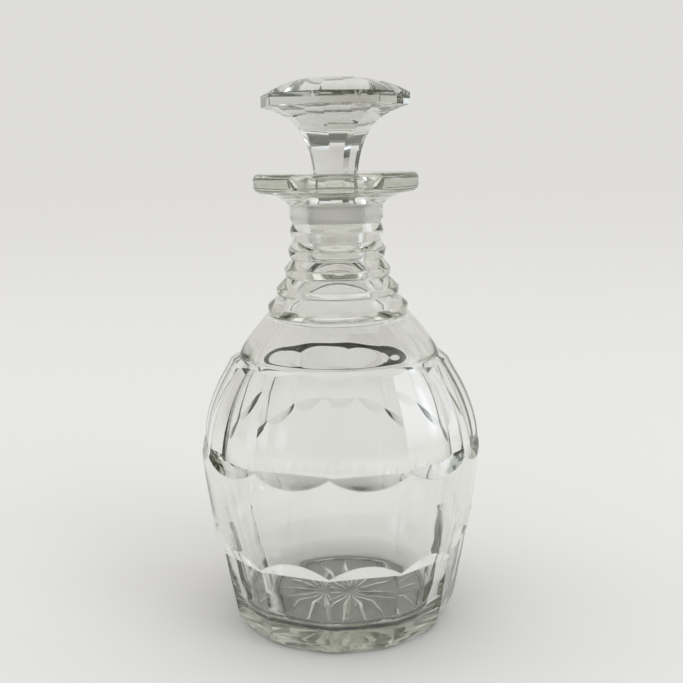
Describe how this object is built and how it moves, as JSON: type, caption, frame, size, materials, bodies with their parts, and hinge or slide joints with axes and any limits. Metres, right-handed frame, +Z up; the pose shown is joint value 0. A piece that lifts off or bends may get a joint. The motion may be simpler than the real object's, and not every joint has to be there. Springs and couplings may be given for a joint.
{
  "type": "cut glass decanter",
  "caption": "Barrel-shaped cut glass decanter with fluted tiers, a stepped neck, a broad lip and a lift-out mushroom stopper.",
  "frame": {"origin": "centre of the foot, on the plane the decanter stands on", "axes": "+Z up along the axis of the body and stopper, +X to the right seen from the front, -Y towards the front"},
  "size_m": [0.1194, 0.1194, 0.23],
  "materials": {
    "body_crystal": "polished cut lead crystal, ground matt inside the socket of the neck",
    "stopper_crystal": "polished cut lead crystal, ground matt on the peg"
  },
  "bodies": {
    "decanter": {"decanter_body": "body_crystal"},
    "stopper": {"stopper": "stopper_crystal"}
  },
  "joints": [
    {"name": "stopper_lift", "type": "slide", "parent": "decanter", "child": "stopper", "axis": [0, 0, 1], "range_m": [0, 0.06]}
  ]
}
